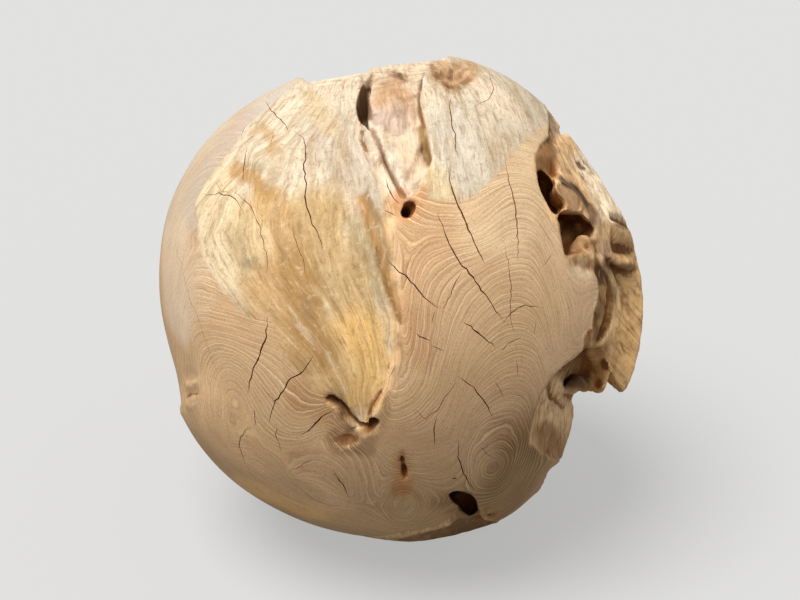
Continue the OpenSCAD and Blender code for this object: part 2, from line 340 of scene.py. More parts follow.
def inside(flat, ring):
    hit = np.zeros(len(flat), bool)
    for (x0, y0), (x1, y1) in zip(ring, np.roll(ring, -1, axis=0)):
        crosses = (y0 > flat[:, 1]) != (y1 > flat[:, 1])
        slope = (x1 - x0) / (y1 - y0 + 1e-12)
        hit ^= crosses & (flat[:, 0] < x0 + (flat[:, 1] - y0) * slope)
    return hit


def signed(flat, ring):
    """Distance to a closed outline, positive inside it."""
    away = distance_to_line(flat, np.vstack([ring, ring[:1]]))
    return np.where(inside(flat, ring), away, -away)


NATURAL_SIDE = np.vstack([
    flat_picture([(549, 100), (556, 129), (545, 139), (540, 146), (533, 157), (532, 163), (535, 169), (537, 180),
                  (541, 193), (545, 204), (549, 214), (556, 224), (559, 231), (562, 245), (564, 258), (571, 265),
                  (578, 271), (586, 275), (594, 270), (598, 278), (599, 290), (597, 300), (594, 307), (592, 318),
                  (591, 328), (583, 333), (582, 349), (585, 358), (574, 362), (566, 370), (559, 381), (552, 387),
                  (545, 397), (540, 410), (534, 421), (531, 435), (531, 446), (537, 451), (543, 456), (546, 462)]),
    past_skyline((-42, 96), (-35, 112), (-22, 98), (-10, 90), (8, 91), (18, 104), (30, 112), (44, 106), (52, 96))])
FOOT_BAND = np.vstack([
    flat_picture([(452, 492), (458, 488), (470, 490), (476, 500), (480, 508), (490, 508), (500, 513)]),
    past_skyline((-66, 92), (-76, 104), (-92, 106), (-104, 93)),
    flat_picture([(388, 539), (405, 533), (420, 531), (438, 526), (450, 518), (458, 508), (456, 500)])])
print("natural side drawn with", len(NATURAL_SIDE), "corners")

# %% [markdown]
# The solid has flat facets. A voxel remesh wraps it in an even fine net, which can then be smoothed
# and given relief as a sculptor would. The copy of the solid is merged first, since its triangles
# are loose.

# %% A fine even net over the solid
VOXEL = 0.0022


def fine_net(source, voxel):
    rough = source.data.copy()
    shell = bmesh.new()
    shell.from_mesh(rough)
    bmesh.ops.remove_doubles(shell, verts=shell.verts, dist=1e-6)
    shell.to_mesh(rough)
    shell.free()
    piece = bpy.data.objects.new("net", rough)
    bpy.context.scene.collection.objects.link(piece)
    remesh = piece.modifiers.new("remesh", "REMESH")
    remesh.mode = "VOXEL"
    remesh.voxel_size = voxel
    net = bpy.data.meshes.new_from_object(piece.evaluated_get(bpy.context.evaluated_depsgraph_get()))
    bpy.data.objects.remove(piece)
    return net


ball_mesh = fine_net(root_solid, VOXEL)
ball_mesh.name = "root_wood_ball"
print("net:", len(ball_mesh.vertices), "vertices")


# %% Reading and writing the net's points
def points_of(mesh):
    flat = np.empty(len(mesh.vertices) * 3)
    mesh.vertices.foreach_get("co", flat)
    return to_view(flat.reshape(-1, 3))


def normals_of(mesh):
    flat = np.empty(len(mesh.vertices) * 3)
    mesh.vertices.foreach_get("normal", flat)
    return flat.reshape(-1, 3) @ ROWS


def move_points(mesh, places):
    mesh.vertices.foreach_set("co", to_floor(places).ravel())
    mesh.update()


class Net:
    """The edges of a mesh, to average what its points hold over their neighbours."""

    def __init__(self, mesh):
        ends = np.empty(len(mesh.edges) * 2, np.int64)
        mesh.edges.foreach_get("vertices", ends)
        first, second = ends.reshape(-1, 2).T
        self.size = len(mesh.vertices)
        self.to, self.by = np.concatenate([first, second]), np.concatenate([second, first])

    def mean(self, values, among=None):
        to, by = self.to, self.by
        if among is not None:
            both = among[to] & among[by]
            to, by = to[both], by[both]
        count = np.bincount(to, minlength=self.size)
        columns = values if values.ndim == 2 else values[:, None]
        total = np.stack([np.bincount(to, weights=c[by], minlength=self.size) for c in columns.T], axis=1)
        some = np.maximum(count, 1)[:, None]
        mean = np.where(count[:, None] > 0, total / some, columns)
        return mean if values.ndim == 2 else mean[:, 0]

    def blur(self, values, times):
        for _ in range(times):
            values = self.mean(values)
        return values


net = Net(ball_mesh)
places = points_of(ball_mesh)
print("radius from", round(np.linalg.norm(places, axis=1).min(), 1), "to",
      round(np.linalg.norm(places, axis=1).max(), 1), "mm")

# %% [markdown]
# Where a point lies on the skin's rule, it is turned wood: only its height is smoothed, so that the
# ball stays round and its edges stay crisp. Everywhere else the wood is natural. There the places
# themselves are smoothed, out and back in turns, so that thin parts don't shrink.

# %% Smooth the turned skin and soften the natural wood
radius = np.linalg.norm(places, axis=1)
under = skin_radius(places) - radius
cut_below = net.blur((np.abs(under) > 1.3).astype(float), 2) > 0.5
flat = unrolled(places)
natural_side = signed(flat, NATURAL_SIDE)
foot_band = signed(flat, FOOT_BAND)
wild = cut_below | (natural_side > 0) | (foot_band > 0)
turned = ~wild
height = radius.copy()
for _ in range(160):
    height = np.where(turned, 0.35 * height + 0.65 * net.mean(height, turned), height)
places = places * (height / radius)[:, None]
for step in range(24):
    pull = 0.6 if step % 2 == 0 else -0.62
    places = np.where(wild[:, None], places + pull * (net.mean(places) - places), places)
move_points(ball_mesh, places)
print("natural wood on", int(wild.sum()), "of", len(wild), "points")

# %% [markdown]
# Natural root wood is fibrous: low ridges run along the root, with soft lumps between them. The
# straight-grained wing on the right has long fissures instead. The relief is worked out point by
# point from smooth noise, stretched along the fibres, and pushes the points along their normals.


# %% Relief of the natural wood
def smooth_noise(places, scale, octaves=3):
    """Smooth noise between about -1 and 1 at places already stretched to the fibres."""
    return np.array([noise.fractal(Vector(p), 0.9, 2.1, octaves) for p in places * scale])


def along(places, direction, squeeze):
    """Places with their length along a fibre direction shortened."""
    fibre = np.asarray(direction, float) / np.linalg.norm(direction)
    return places - np.outer(places @ fibre, fibre) * (1 - squeeze)


rough = np.flatnonzero(wild)
here = places[rough]
swirl = np.stack([smooth_noise(here + shift, 0.018, 2) for shift in (0.0, 57.0, 113.0)], axis=1) * 16
fibre_leaning = along(here + swirl, (-0.3, 1.0, 0.1), 0.16)
fibre_falling = along(here + swirl * 0.25, (0.62, -0.75, -0.2), 0.06)
falling = ramp(here[:, 0], 192, 208) * ramp(-here[:, 1], -24, -8)
folds = smooth_noise(fibre_leaning, 0.05, 3)
threads = smooth_noise(fibre_leaning, 0.16, 3)
lumps = smooth_noise(here + swirl, 0.035, 3)
side = ramp(here[:, 0], 115, 135)
relief = (1 - falling) * (folds * (0.4 + 0.6 * side) + threads * (0.25 + 0.35 * side) + lumps * (0.3 + 1.0 * side))
relief += falling * (0.8 * lumps + 0.9 * smooth_noise(fibre_falling, 0.12, 3))
border = np.clip(net.blur(wild.astype(float), 3)[rough] * 2 - 1, 0, 1)
room = skin_radius(here) - np.linalg.norm(here, axis=1)
relief = np.where(room < 3, np.minimum(relief, room + 1.5), relief)
places[rough] += normals_of(ball_mesh)[rough] * (relief * (0.25 + 0.75 * border))[:, None]
move_points(ball_mesh, places)
print("relief from", round(relief.min(), 1), "to", round(relief.max(), 1), "mm")

# %% [markdown]
# The net is now far finer than the smooth parts need. A decimate modifier brings it down, and keeps
# the close net where the shape bends.

# %% Thin the net
root_ball = bpy.data.objects.new("root_wood_ball", ball_mesh)
bpy.context.scene.collection.objects.link(root_ball)


def apply_modifiers(piece):
    done = bpy.data.meshes.new_from_object(piece.evaluated_get(bpy.context.evaluated_depsgraph_get()))
    piece.modifiers.clear()
    piece.data = done


thin = root_ball.modifiers.new("thin", "DECIMATE")
thin.decimate_type = "COLLAPSE"
thin.use_collapse_triangulate = True
thin.ratio = 170000 / (2 * len(ball_mesh.polygons))
apply_modifiers(root_ball)
print("ball:", len(root_ball.data.polygons), "faces")

# %% [markdown]
# Drying splits the wood in long checks. On the real ball each is a narrow wedge-shaped gap that ends
# in a point. It is cut with a blade of the same shape: a three-sided strip that follows the check
# over the skin, and is taken away from the ball. Blades that touch go into different cuts.

# %% Where the checks run: [width, depth, places on the front view]
CHECKS = [
    [1.0, 12, (-127, 188), (-120, 177), (-112, 168), (-103, 159), (-101, 153)],
    [1.2, 14, (-97, 155), (-87, 147), (-85, 140), (-84, 125), (-86, 117), (-83, 103), (-84, 92), (-81, 78),
     (-77, 67), (-71, 55), (-66, 40)],
    [1.1, 12, (-139, 142), (-142, 132), (-143, 117), (-142, 105)],
    [0.5, 4, (-116, 153), (-118, 139)],
    [0.7, 6, (-145, 163), (-148, 150)],
    [0.8, 6, (-184, 97), (-178, 95), (-167, 96), (-157, 93), (-150, 92), (-147, 86), (-140, 75)],
    [0.8, 6, (-150, 96), (-135, 83), (-127, 67), (-124, 58), (-120, 45), (-117, 33), (-117, 18)],
    [0.5, 5, (-172, 108), (-163, 99), (-150, 92)],
    [0.6, 8, (-214, 55), (-210, 43), (-204, 27), (-200, 13), (-195, -3), (-186, -20), (-178, -42), (-172, -58),
     (-167, -70)],
    [0.6, 6, (-95, 63), (-90, 45), (-85, 33), (-80, 15)],
    [0.9, 8, (-10, 107), (-8, 95), (-3, 87), (3, 82)],
    [0.6, 6, (-12, 77), (0, 71)],
    [1.1, 14, (-10, 35), (-5, 27), (0, 23), (8, 17), (15, 10), (25, -2), (38, -11)],
    [0.8, 8, (58, 22), (50, 10), (46, -3), (40, -11)],
    [1.1, 12, (50, 185), (49, 174), (50, 160), (53, 147), (54, 133), (56, 125)],
    [1.5, 16, (47, 118), (46, 108), (50, 95), (53, 85), (57, 77), (62, 65), (67, 53), (72, 42), (79, 27)],
    [1.2, 14, (98, 124), (100, 112), (104, 95), (107, 80), (109, 62), (109, 47), (108, 32)],
    [1.3, 16, (35, 76), (39, 67), (43, 53), (50, 40), (57, 27), (67, 17), (80, 0), (88, -13), (97, -24)],
    [0.7, 6, (83, 222), (89, 217), (91, 207), (91, 193), (87, 187), (75, 179), (71, 176)],
    [0.7, 8, (97, 45), (100, 25), (102, 8), (101, -18), (107, -35)],
    [0.5, 4, (142, 39), (132, 27)],
    [1.2, 12, (58, -22), (67, -28), (75, -35), (83, -42), (88, -47)],
    [1.1, 10, (17, -33), (29, -40)],
    [0.8, 7, (30, -44), (42, -49)],
    [0.9, 7, (94, -26), (101, -17), (107, -11), (117, -8), (129, -10)],
    [0.8, 7, (92, -50), (100, -42), (112, -37)],
    [1.0, 10, (54, -72), (62, -77), (70, -85), (77, -93), (83, -103), (88, -113)],
    [0.6, 6, (88, -77), (97, -92)],
    [0.6, 5, (108, -57), (109, -73)],
    [0.9, 7, (36, -108), (32, -123), (34, -135)],
    [1.1, 10, (56, -130), (55, -148), (59, -155), (62, -165), (67, -175), (72, -182)],
    [0.6, 6, (75, -138), (87, -149)],
    [0.7, 6, (17, -102), (25, -111), (36, -102), (43, -90), (53, -77)],
    [0.6, 5, (33, -14), (31, -24)],
    [0.5, 4, (125, -22), (124, -35)],
    [1.5, 16, (-117, -18), (-118, -27), (-119, -40), (-124, -52), (-130, -65), (-135, -78), (-138, -92)],
    [1.3, 14, (-75, -53), (-83, -65), (-88, -70), (-97, -75), (-103, -85), (-111, -96), (-116, -107), (-118, -117)],
    [0.6, 5, (-123, -83), (-106, -102)],
    [1.3, 12, (-57, -102), (-67, -108), (-75, -117), (-83, -124), (-89, -128)],
    [0.9, 7, (-132, -103), (-131, -120)],
    [0.9, 7, (-134, -122), (-138, -122), (-147, -132), (-149, -142), (-147, -152), (-145, -159)],
    [0.6, 5, (-111, -118), (-111, -130), (-107, -144)],
    [1.1, 10, (-59, -160), (-54, -170), (-48, -180), (-46, -188)],
    [0.7, 6, (-78, -151), (-90, -157), (-98, -162)],
    [0.7, 5, (-100, -175), (-90, -182), (-80, -192), (-67, -197), (-52, -198)],
    [0.5, 5, (-2, -62), (-7, -72)],
    [2.4, 8, (50, -168), (55, -169)],
]
print(len(CHECKS), "checks")

# %% One blade for each check
REACH = 5.0
rng = np.random.default_rng(7)


def walk(corners, pace):
    """Even steps along a line on the front view."""
    line = np.array(corners, float)
    run = np.concatenate([[0], np.cumsum(np.linalg.norm(np.diff(line, axis=0), axis=1))])
    steps = max(3, int(round(run[-1] / pace)) + 1)
    at = np.linspace(0, run[-1], steps)
    return np.stack([np.interp(at, run, line[:, 0]), np.interp(at, run, line[:, 1])], axis=1)


def landed(tree, x, y):
    """Where a line of sight through x, y on the front view first meets the wood."""
    start, aim = to_floor([[x, y, 400]])[0], ROWS @ np.array([0, 0, -1.0])
    spot, normal, _, _ = tree.ray_cast(Vector(start), Vector(aim))
    if spot is None:
        return show(x, y), show(x, y) / BALL_R
    return to_view(np.array([spot]))[0], np.array(normal) @ ROWS


def blade(tree, width, depth, corners):
    """A three-sided strip along one check, pointed at both ends."""
    line = walk(corners, 4.5)
    line[1:-1] += rng.normal(0, 0.5, (len(line) - 2, 2))
    spots = [landed(tree, x, y) for x, y in line]
    strip = bmesh.new()
    rim = None
    for i, (spot, normal) in enumerate(spots):
        ahead = spots[min(i + 1, len(spots) - 1)][0] - spots[max(i - 1, 0)][0]
        side = np.cross(normal, ahead)
        side /= max(np.linalg.norm(side), 1e-6)
        share = max(0.0, math.sin(math.pi * i / (len(spots) - 1))) ** 0.6
        half = max(0.06, 0.5 * width * share * rng.uniform(0.75, 1.2))
        deep = max(1.0, depth * share)
        flare = half * (1 + REACH / deep)
        corners_here = [spot + normal * REACH + side * flare, spot + normal * REACH - side * flare,
                        spot - normal * deep + side * 0.02]
        corners_here = [Vector(c) for c in to_floor(corners_here)]
        if rim is None:
            face = strip.faces.new([strip.verts.new(c) for c in corners_here])
            rim = list(face.verts)
            continue
        grown = bmesh.ops.extrude_edge_only(strip, edges=[e for e in strip.edges if all(v in rim for v in e.verts)])
        fresh = [v for v in grown["geom"] if isinstance(v, bmesh.types.BMVert)]
        order = [min(fresh, key=lambda v: (v.co - old.co).length) for old in rim]
        for vert, place in zip(order, corners_here):
            vert.co = place
        rim = order
    bmesh.ops.contextual_create(strip, geom=rim)
    bmesh.ops.triangulate(strip, faces=strip.faces)
    bmesh.ops.recalc_face_normals(strip, faces=strip.faces)
    return strip


def surface_tree(mesh):
    shell = bmesh.new()
    shell.from_mesh(mesh)
    tree = BVHTree.FromBMesh(shell)
    shell.free()
    return tree


skin_tree = surface_tree(root_ball.data)
blades = [blade(skin_tree, width, depth, corners) for width, depth, *corners in CHECKS]
print("blades:", len(blades), "with", sum(len(b.faces) for b in blades), "faces")

# %% [markdown]
# The walls of a check are painted a dark red-brown, as painted shade deep in the narrow gap. The
# faces that a cut leaves take the blade's own material.

# %% Cut the checks
wall = Finish("check_wall_painted_shade")
wood = Finish("root_wood")
root_ball.data.materials.clear()
root_ball.data.materials.append(wood.material)
root_ball.data.materials.append(wall.material)


def cut_sets(blades):
    """Blades in sets within which no two touch."""
    sets = []
    for strip in blades:
        tree = BVHTree.FromBMesh(strip)
        for group in sets:
            if not any(tree.overlap(other) for _, other in group):
                group.append((strip, tree))
                break
        else:
            sets.append([(strip, tree)])
    return [[strip for strip, _ in group] for group in sets]


def cut_with(piece, strips):
    cutter_mesh = bpy.data.meshes.new("blades")
    joined = bmesh.new()
    for strip in strips:
        one = bpy.data.meshes.new("blade")
        strip.to_mesh(one)
        joined.from_mesh(one)
        bpy.data.meshes.remove(one)
    for face in joined.faces:
        face.material_index = 0
    joined.to_mesh(cutter_mesh)
    joined.free()
    cutter_mesh.materials.append(wall.material)
    cutter = bpy.data.objects.new("blades", cutter_mesh)
    bpy.context.scene.collection.objects.link(cutter)
    cut = piece.modifiers.new("cut", "BOOLEAN")
    cut.operation = "DIFFERENCE"
    cut.solver = "MANIFOLD"
    cut.material_mode = "TRANSFER"
    cut.object = cutter
    apply_modifiers(piece)
    bpy.data.objects.remove(cutter)


for strips in cut_sets(blades):
    before = len(root_ball.data.polygons)
    cut_with(root_ball, strips)
    print("cut with", len(strips), "blades:", before, "to", len(root_ball.data.polygons), "faces")
for strip in blades:
    strip.free()

# %% Keep the one piece, with crisp rims round the checks
whole = bmesh.new()
whole.from_mesh(root_ball.data)
todo, parts = set(whole.verts), []
while todo:
    part, edge_of_part = set(), [todo.pop()]
    while edge_of_part:
        vert = edge_of_part.pop()
        part.add(vert)
        for edge in vert.link_edges:
            other = edge.other_vert(vert)
            if other in todo:
                todo.discard(other)
                edge_of_part.append(other)
    parts.append(part)
parts.sort(key=len)
bmesh.ops.delete(whole, geom=[vert for part in parts[:-1] for vert in part], context="VERTS")
for edge in whole.edges:
    if len(edge.link_faces) == 2 and edge.link_faces[0].material_index != edge.link_faces[1].material_index:
        edge.smooth = False
whole.to_mesh(root_ball.data)
whole.free()
print("splinters taken off:", len(parts) - 1)

# %% [markdown]
# The colours of the wood follow its growth, so the mesh carries a few numbers for the finish. The
# growth number is the distance from the nearest pith, measured over the skin, longer along the root
# than across it. The sapwood number is the distance inside the sapwood's edge.

# %% Growth number
# Each lobe: pith on the skin, direction of the root, narrowness across it, and head start
LOBES = [
    [(97, -172, 150), (0.06, 1.0), 0.42, 0],
    [(-155, -100, 170), (-0.36, 0.93), 0.50, 0],
    [(-92, -115, 198), (0.5, 0.85), 0.6, 16],
    [(-78, -163, 173), (0.3, 0.95), 0.9, 5],
    [(5, -185, 168), (0.0, 1.0), 1.5, 9],
    [(40, 60, -235), (0.3, 0.95), 0.55, 0],
    [(-120, -90, -200), (-0.3, 0.9), 0.6, 12],
    [(150, -80, -180), (0.4, 0.9), 0.6, 10],
    [(-30, 190, -160), (-0.8, 0.5), 0.6, 20],
]


def growth(places):
    aim = places / np.linalg.norm(places, axis=1)[:, None]
    total = 0
    for pith, root, narrow, start in LOBES:
        out = np.array(pith, float) / np.linalg.norm(pith)
        up = np.array([root[0], root[1], 0.0])
        up -= out * (up @ out)
        up /= np.linalg.norm(up)
        across = np.cross(up, out)
        away = BALL_R * np.arccos(np.clip(aim @ out, -1, 1))
        turn = np.arctan2(aim @ across, aim @ up)
        u, v = away * np.sin(turn), away * np.cos(turn)
        width = 0.9 + (narrow - 0.9) * ramp(v, 0, 90)
        total = total + np.exp(-(np.hypot(u / width, v) + start) / 9.0)
    return -9.0 * np.log(total)


print("growth number at the front:", round(float(growth(np.array([[0.0, 0.0, 250.0]]))[0])), "mm")

# %% [markdown]
# On the show side the growth lines are followed one by one, because their arches are what one sees
# first. A few lines are drawn, each with its year. Between them the years are relaxed on a
# grid, as a sheet would hang between wires, and away from them the lobes take over.

# %% Growth lines drawn: [year, places on the picture]
RING = 5.0
YEARS = [
    [52, (425, 220), (450, 223), (462, 224), (472, 219), (485, 208), (500, 195), (510, 188), (520, 185), (530, 187),
     (540, 196)],
    [49, (403, 335), (404, 290), (408, 262), (418, 243), (425, 236), (435, 233), (460, 234), (472, 230), (485, 222),
     (498, 212), (508, 206), (518, 203), (528, 203), (536, 208), (545, 222), (556, 240)],
    [47, (405, 340), (407, 300), (412, 270), (418, 256), (425, 248), (435, 243), (446, 241), (470, 240), (483, 236),
     (495, 228), (507, 219), (518, 214), (528, 215), (537, 222), (545, 236), (562, 270), (575, 300), (579, 340)],
    [45, (390, 385), (398, 378), (406, 365), (409, 350), (411, 320), (415, 290), (420, 272), (428, 261), (440, 251),
     (462, 247), (487, 240), (500, 231), (510, 226), (520, 225), (530, 227), (540, 236), (555, 275), (566, 300),
     (572, 340)],
    [43, (388, 398), (400, 392), (410, 383), (418, 365), (421, 340), (425, 300), (430, 285), (440, 271), (450, 263),
     (475, 254), (487, 249), (500, 240), (512, 233), (522, 231), (532, 233), (541, 243), (549, 262), (563, 320),
     (566, 350)],
    [41, (386, 412), (398, 408), (412, 402), (424, 390), (430, 370), (433, 340), (437, 300), (443, 287), (452, 275),
     (462, 267), (488, 257), (500, 249), (510, 243), (520, 242), (530, 244), (538, 253), (552, 292), (557, 320),
     (560, 345)],
    [37, (385, 428), (400, 422), (415, 415), (430, 402), (440, 385), (446, 365), (452, 340), (458, 325), (466, 308),
     (476, 294), (488, 283), (500, 276), (512, 271), (522, 269), (532, 272), (541, 284), (549, 305), (556, 350)],
    [33, (415, 430), (430, 420), (440, 410), (448, 400), (452, 380), (460, 352), (468, 332), (478, 315), (490, 302),
     (502, 294), (512, 290), (522, 289), (532, 293), (540, 305), (546, 325), (550, 350)],
    [27, (446, 430), (458, 400), (463, 380), (470, 360), (480, 342), (492, 330), (505, 322), (520, 320), (532, 323),
     (541, 335), (550, 368)],
    [22, (452, 440), (458, 415), (465, 395), (475, 376), (488, 360), (500, 352), (512, 346), (522, 344), (532, 346),
     (540, 355), (545, 368), (545, 385)],
    [17, (458, 445), (462, 425), (470, 405), (480, 391), (500, 374), (512, 368), (522, 367), (531, 371), (540, 392),
     (536, 410)],
    [12, (461, 455), (465, 435), (474, 416), (488, 401), (502, 393), (512, 390), (522, 390), (529, 394), (533, 402),
     (534, 425)],
    [9, (463, 475), (465, 450), (471, 433), (480, 421), (490, 413), (502, 408), (514, 408), (523, 413), (530, 430),
     (528, 455), (518, 480), (503, 497)],
    [6, (477, 487), (467, 465), (468, 445), (476, 431), (488, 424), (500, 421), (512, 422), (522, 445), (517, 468),
     (505, 484), (490, 490)],
    [1, (485, 476), (485, 465), (493, 461), (499, 466), (496, 476)],
    [29, (185, 290), (200, 288), (220, 296), (240, 305)],
    [26, (178, 315), (195, 305), (215, 306), (235, 312), (255, 322)],
    [23, (178, 335), (186, 322), (200, 316), (220, 320), (245, 328), (262, 335), (280, 345)],
    [20, (183, 345), (188, 335), (197, 330), (210, 331), (240, 337), (255, 341), (270, 346), (283, 355), (292, 367)],
    [17, (208, 428), (200, 410), (193, 390), (190, 360), (194, 348), (203, 342), (215, 339), (228, 341), (256, 352),
     (268, 358), (280, 367), (294, 384)],
    [15, (218, 445), (208, 425), (199, 400), (196, 370), (200, 358), (208, 350), (220, 347), (232, 349), (246, 357),
     (258, 367), (268, 378), (282, 402), (292, 412), (300, 415), (325, 410), (335, 405)],
    [12, (224, 445), (212, 425), (205, 400), (204, 380), (209, 366), (218, 359), (230, 358), (242, 364), (252, 374),
     (268, 398), (277, 410), (287, 420), (300, 425), (315, 422), (330, 412)],
    [9, (228, 448), (217, 430), (213, 410), (212, 392), (216, 376), (224, 368), (233, 368), (243, 377), (258, 403),
     (266, 415), (278, 427), (290, 434), (303, 434), (318, 427), (332, 414)],
    [6, (232, 450), (222, 425), (220, 405), (222, 388), (228, 380), (236, 382), (243, 394), (250, 408), (258, 422),
     (268, 435), (282, 442), (300, 440), (318, 432)],
    [4, (232, 440), (228, 420), (228, 400), (233, 394), (240, 400), (252, 426), (262, 440), (275, 450), (292, 452),
     (310, 446), (325, 435)],
    [2, (290, 476), (300, 468), (318, 464), (332, 470), (341, 482), (345, 494)],
    [4, (288, 468), (302, 458), (320, 454), (338, 462), (350, 480), (354, 502)],
    [7, (345, 440), (360, 458), (366, 480), (368, 505)],
    [9, (362, 446), (375, 455), (381, 475), (384, 500)],
    [1, (399, 510), (399, 500), (405, 495), (410, 500), (409, 509), (403, 512)],
    [5, (385, 505), (390, 490), (404, 483), (418, 490), (424, 505), (418, 520), (404, 526), (390, 520), (385, 505)],
]

# %% Relax the years between the drawn lines
STEP, HALF = 3.0, 399.0
axis = np.arange(-HALF, HALF + 1, STEP)
grid_x, grid_y = np.meshgrid(axis, axis)
cells = np.stack([grid_x.ravel(), grid_y.ravel()], axis=1)
off = np.linalg.norm(cells, axis=1) / BALL_R
aims = np.column_stack([cells * (np.sin(off) / np.maximum(off * BALL_R, 1e-6))[:, None], np.cos(off)])
years = growth(aims).reshape(grid_x.shape)
nearest = np.full(len(cells), 1e9)
drawn = np.zeros(grid_x.shape, bool)
for year, *pixels in YEARS:
    line = flat_picture(pixels)
    away = distance_to_line(cells, line)
    nearest = np.minimum(nearest, away)
    on_line = (away < 0.7 * STEP).reshape(grid_x.shape)
    drawn |= on_line
    years[on_line] = year * RING
free = (nearest.reshape(grid_x.shape) < 60) & ~drawn
for _ in range(1200):
    around = (np.roll(years, 1, 0) + np.roll(years, -1, 0) + np.roll(years, 1, 1) + np.roll(years, -1, 1)) / 4
    years = np.where(free, around, years)
for _ in range(6):
    around = (np.roll(years, 1, 0) + np.roll(years, -1, 0) + np.roll(years, 1, 1) + np.roll(years, -1, 1)) / 4
    years = np.where(free | drawn, 0.5 * years + 0.5 * around, years)


def year_at(flat):
    """The relaxed growth number at places on the skin laid flat."""
    u, v = ((np.clip(flat, -HALF, HALF - STEP) + HALF) / STEP).T
    column, row = u.astype(int), v.astype(int)
    u, v = u - column, v - row
    near_row = years[row, column] * (1 - u) + years[row, np.minimum(column + 1, len(axis) - 1)] * u
    row = np.minimum(row + 1, len(axis) - 1)
    far_row = years[row, column] * (1 - u) + years[row, np.minimum(column + 1, len(axis) - 1)] * u
    return near_row * (1 - v) + far_row * v


places = points_of(root_ball.data)
flat = unrolled(places)
net = Net(root_ball.data)
show_side = 1 - ramp(np.linalg.norm(flat, axis=1), 370, 395)
rings = growth(places) * (1 - show_side) + year_at(flat) * show_side
print(len(YEARS), "lines drawn, growth number from", round(rings.min()), "to", round(rings.max()), "mm")

# %% Where the sapwood, the plate and the hollows lie
SAPWOOD = np.vstack([flat_line([
    (-97, 222), (-130, 183), (-148, 162), (-157, 142), (-172, 123), (-185, 107), (-192, 92), (-192, 73), (-188, 58),
    (-183, 33), (-172, 17), (-157, 0), (-150, -10), (-133, -22), (-120, -17), (-112, -33), (-103, -53), (-92, -70),
    (-83, -80), (-78, -87), (-60, -90), (-54, -100), (-45, -117), (-33, -129), (-23, -117), (-13, -100), (-8, -83),
    (-5, -67), (0, -55), (3, -20), (3, 20), (2, 50), (0, 80), (10, 98), (22, 102), (31, 86), (50, 82), (57, 77),
    (67, 87), (80, 100), (93, 113), (100, 123), (117, 143), (133, 157), (147, 170), (165, 186)]),
    past_skyline((47, 140), (90, 150), (113, 130))])
PLATE = flat_line([(-33, 222), (-31, 212), (-30, 182), (-20, 148), (-8, 126), (5, 92), (17, 94), (22, 104), (29, 122),
                   (29, 136), (25, 150), (20, 168), (19, 184), (23, 198), (23, 214), (40, 224), (46, 206), (58, 196),
                   (74, 206), (78, 220), (74, 238), (0, 249), (-33, 247)])
ZONES = [
    # Painted shade: the brown of a shallow scoop above the limb, which the solid has flat.
    [(176, 136, 88), (129, 126), (134, 137), (141, 149), (147, 149), (150, 130), (151, 113), (143, 108), (134, 114),
     (128, 120)],
    # Partly the wood's brown, partly painted shade in the hollow beside the limb.
    [(190, 140, 90), (128, 120), (130, 103), (135, 89), (141, 77), (148, 75), (155, 82), (153, 92), (149, 102),
     (143, 111), (136, 116)],
    # Partly the lumps' brown, partly painted shade cast by the ledge into the second hollow.
    [(204, 152, 98), (146, 72), (153, 79), (163, 78), (173, 77), (181, 69), (187, 62), (184, 52), (176, 40), (165, 39),
     (153, 36), (151, 50), (148, 63)],
    [(190, 156, 122), (176, 82), (192, 84), (209, 86), (212, 68), (211, 27), (191, 29), (184, 44), (180, 56),
     (183, 68)],
    [(206, 162, 112), (204, 81), (220, 93), (250, 95), (262, 22), (206, 23), (204, 51)],
    # Painted shade on the strip that faces away from the lamp.
    [(138, 98, 56), (188, 34), (183, 24), (187, 13), (188, 1), (185, -13), (182, -22), (179, -31), (174, -41),
     (170, -50), (186, -54), (200, -46), (213, -22), (216, -2), (212, 20), (202, 37)],
    # Partly the knob's brown, partly painted shade in the recess under the panel's lower edge.
    [(118, 82, 42), (172, -48), (166, -55), (155, -62), (146, -70), (137, -79), (142, -96), (160, -112), (184, -96),
     (204, -76), (190, -48)],
    # Painted shade: the near-black inside of the hole at the foot.
    [(52, 33, 18), (47, -184), (52, -181), (61, -182), (70, -186), (75, -194), (78, -206), (70, -212), (62, -206),
     (57, -197), (50, -192)],
    [(128, 94, 58), (58, -196), (61, -206), (57, -214), (50, -221), (36, -226), (20, -230), (0, -238), (0, -252),
     (96, -252), (97, -222), (84, -217), (77, -205)],
]
depth = skin_radius(places) - np.linalg.norm(places, axis=1)
natural = np.maximum(ramp(depth, 1.2, 2.6), ramp(signed(flat, NATURAL_SIDE), -1, 1.5))
natural = np.maximum(natural, ramp(signed(flat, FOOT_BAND), -1, 1.5))
facing = normals_of(root_ball.data)
# How sunk each point lies below its neighbours; the finish turns it into painted shade in hollows and a painted
# highlight on ridges.
sunk = ((net.blur(places, 8) - places) * facing).sum(axis=1)
sunk_wide = ((net.blur(places, 40) - places) * facing).sum(axis=1)
on_plate = np.maximum(ramp(signed(flat, PLATE), -6, 0), ramp(flat[:, 1], 235, 255) * ramp(flat[:, 0], 112, 92))
# On the plate the painted shade and highlight are mostly taken away.
sunk, sunk_wide = sunk * (1 - 0.9 * on_plate), sunk_wide * (1 - 0.9 * on_plate)
print("natural wood on", round(100 * natural.mean()), "percent of the points")
